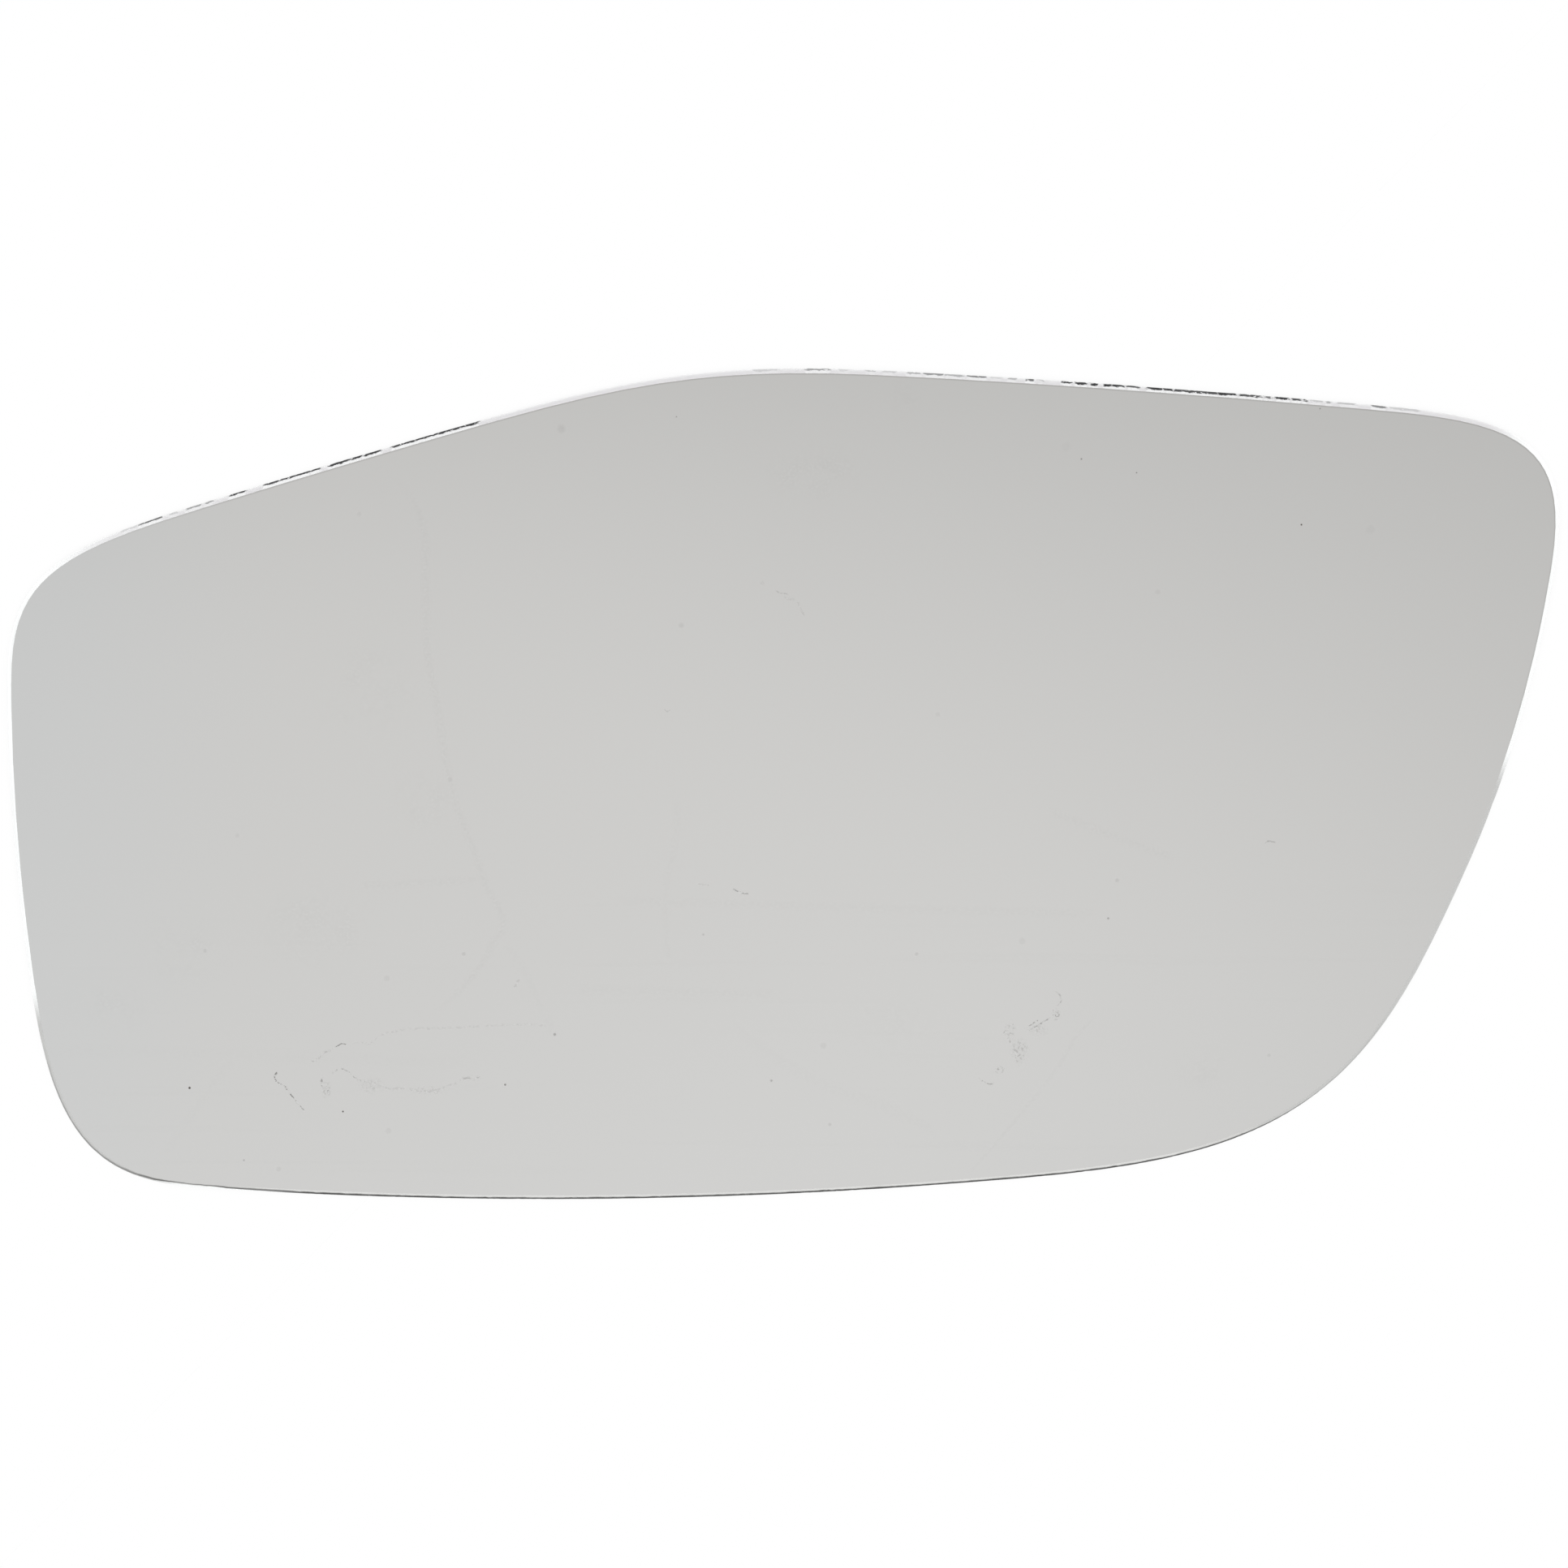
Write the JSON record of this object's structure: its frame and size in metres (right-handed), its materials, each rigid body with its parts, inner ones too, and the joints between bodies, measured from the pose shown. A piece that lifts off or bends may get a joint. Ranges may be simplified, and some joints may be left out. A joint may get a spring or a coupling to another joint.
{
  "type": "car door mirror glass",
  "caption": "Flat silvered glass for a car's door mirror: a free-form plate with a low crown, smooth corner blends, a ground round edge and a painted back for bonding.",
  "frame": {"origin": "under the middle of the glass's bounding box, on the plane of its flat back face", "axes": "+X along the length towards the inner end, the side that is cut away below; +Y towards the crowned top edge; +Z out of the mirror face"},
  "size_m": [0.186, 0.1, 0.002],
  "materials": {
    "silvered_glass": "silvered glass: clear bright mirror face with a few dried-water marks, finely ground matt edge, dark painted back"
  },
  "bodies": {
    "root": {"mirror_glass": "silvered_glass"}
  },
  "joints": []
}
